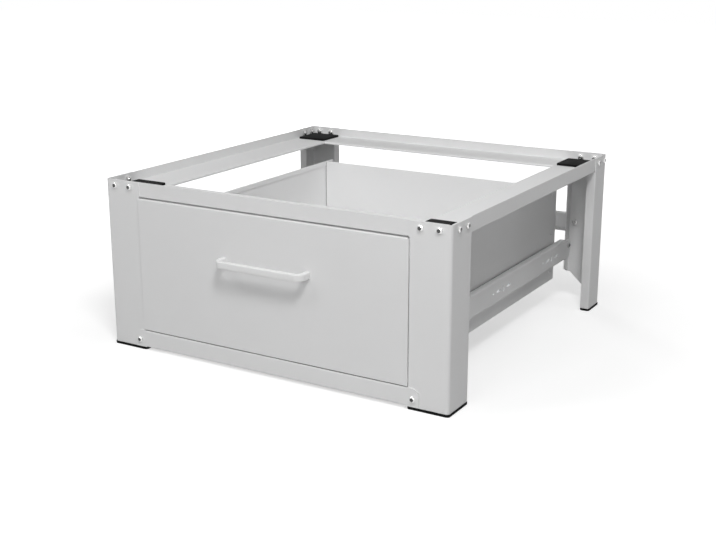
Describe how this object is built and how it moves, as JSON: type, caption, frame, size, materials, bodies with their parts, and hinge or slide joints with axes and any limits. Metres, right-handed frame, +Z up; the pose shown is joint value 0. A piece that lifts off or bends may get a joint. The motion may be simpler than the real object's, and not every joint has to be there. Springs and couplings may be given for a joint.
{
  "type": "washer pedestal",
  "caption": "Folded-sheet pedestal for a washing machine, with rubber seat pads inside a raised rim and a handled steel drawer on ball slides underneath.",
  "frame": {"origin": "on the floor, in the middle of the whole outline from the handle's face to the rearmost bolt head", "axes": "+X right as seen from the front, +Y to the rear, +Z up; the drawer opens towards -Y"},
  "size_m": [0.718, 0.7366, 0.32],
  "materials": {
    "frame_paint": "satin powder coat, light grey-white",
    "bolt_steel": "bright zinc plating",
    "slide_steel": "zinc plating",
    "rubber": "matt black"
  },
  "bodies": {
    "frame": {"front_left_leg": "frame_paint", "front_right_leg": "frame_paint", "rear_left_leg": "frame_paint", "rear_right_leg": "frame_paint", "front_top_rail": "frame_paint", "rear_top_rail": "frame_paint", "left_top_rail": "frame_paint", "right_top_rail": "frame_paint", "front_kick_rail": "frame_paint", "rear_cross_brace": "frame_paint", "left_runner_rail": "frame_paint", "right_runner_rail": "frame_paint", "front_left_foot_cap": "rubber", "front_right_foot_cap": "rubber", "rear_left_foot_cap": "rubber", "rear_right_foot_cap": "rubber", "front_left_pad": "rubber", "front_right_pad": "rubber", "rear_left_pad": "rubber", "rear_right_pad": "rubber", "top_frame_bolts": "bolt_steel", "top_frame_nuts": "bolt_steel", "kick_rail_bolts": "bolt_steel", "kick_rail_nuts": "bolt_steel", "runner_rail_bolts": "bolt_steel", "runner_rail_nuts": "bolt_steel", "runner_front_screws": "bolt_steel", "runner_front_nuts": "bolt_steel", "cross_brace_bolts": "bolt_steel", "cross_brace_nuts": "bolt_steel", "left_slide_outer_member": "slide_steel", "right_slide_outer_member": "slide_steel", "slide_rail_rivets": "bolt_steel", "left_slide_stop": "rubber", "right_slide_stop": "rubber"},
    "left_cage": {"left_ball_cage": "slide_steel", "left_slide_balls": "bolt_steel"},
    "right_cage": {"right_ball_cage": "slide_steel", "right_slide_balls": "bolt_steel"},
    "drawer": {"left_slide_inner_member": "slide_steel", "right_slide_inner_member": "slide_steel", "slide_drawer_rivets": "bolt_steel", "drawer_front": "frame_paint", "drawer_handle": "frame_paint", "handle_screws": "bolt_steel", "drawer_left_side": "frame_paint", "drawer_right_side": "frame_paint", "drawer_back": "frame_paint", "drawer_bottom": "frame_paint", "drawer_left_bracket": "frame_paint", "drawer_right_bracket": "frame_paint", "drawer_floor_angle": "frame_paint", "drawer_box_rivets": "bolt_steel", "front_panel_studs": "bolt_steel", "front_panel_nuts": "bolt_steel"}
  },
  "joints": [
    {"name": "drawer_slide", "type": "slide", "parent": "frame", "child": "drawer", "axis": [0, -1, 0], "range_m": [0, 0.45]},
    {"name": "left_cage_slide", "type": "slide", "parent": "frame", "child": "left_cage", "axis": [0, -1, 0], "range_m": [0, 0.225]},
    {"name": "right_cage_slide", "type": "slide", "parent": "frame", "child": "right_cage", "axis": [0, -1, 0], "range_m": [0, 0.225]}
  ],
  "couplings": [
    {"joint": "left_cage_slide", "follows": "drawer_slide", "ratio": 0.5},
    {"joint": "right_cage_slide", "follows": "drawer_slide", "ratio": 0.5}
  ]
}
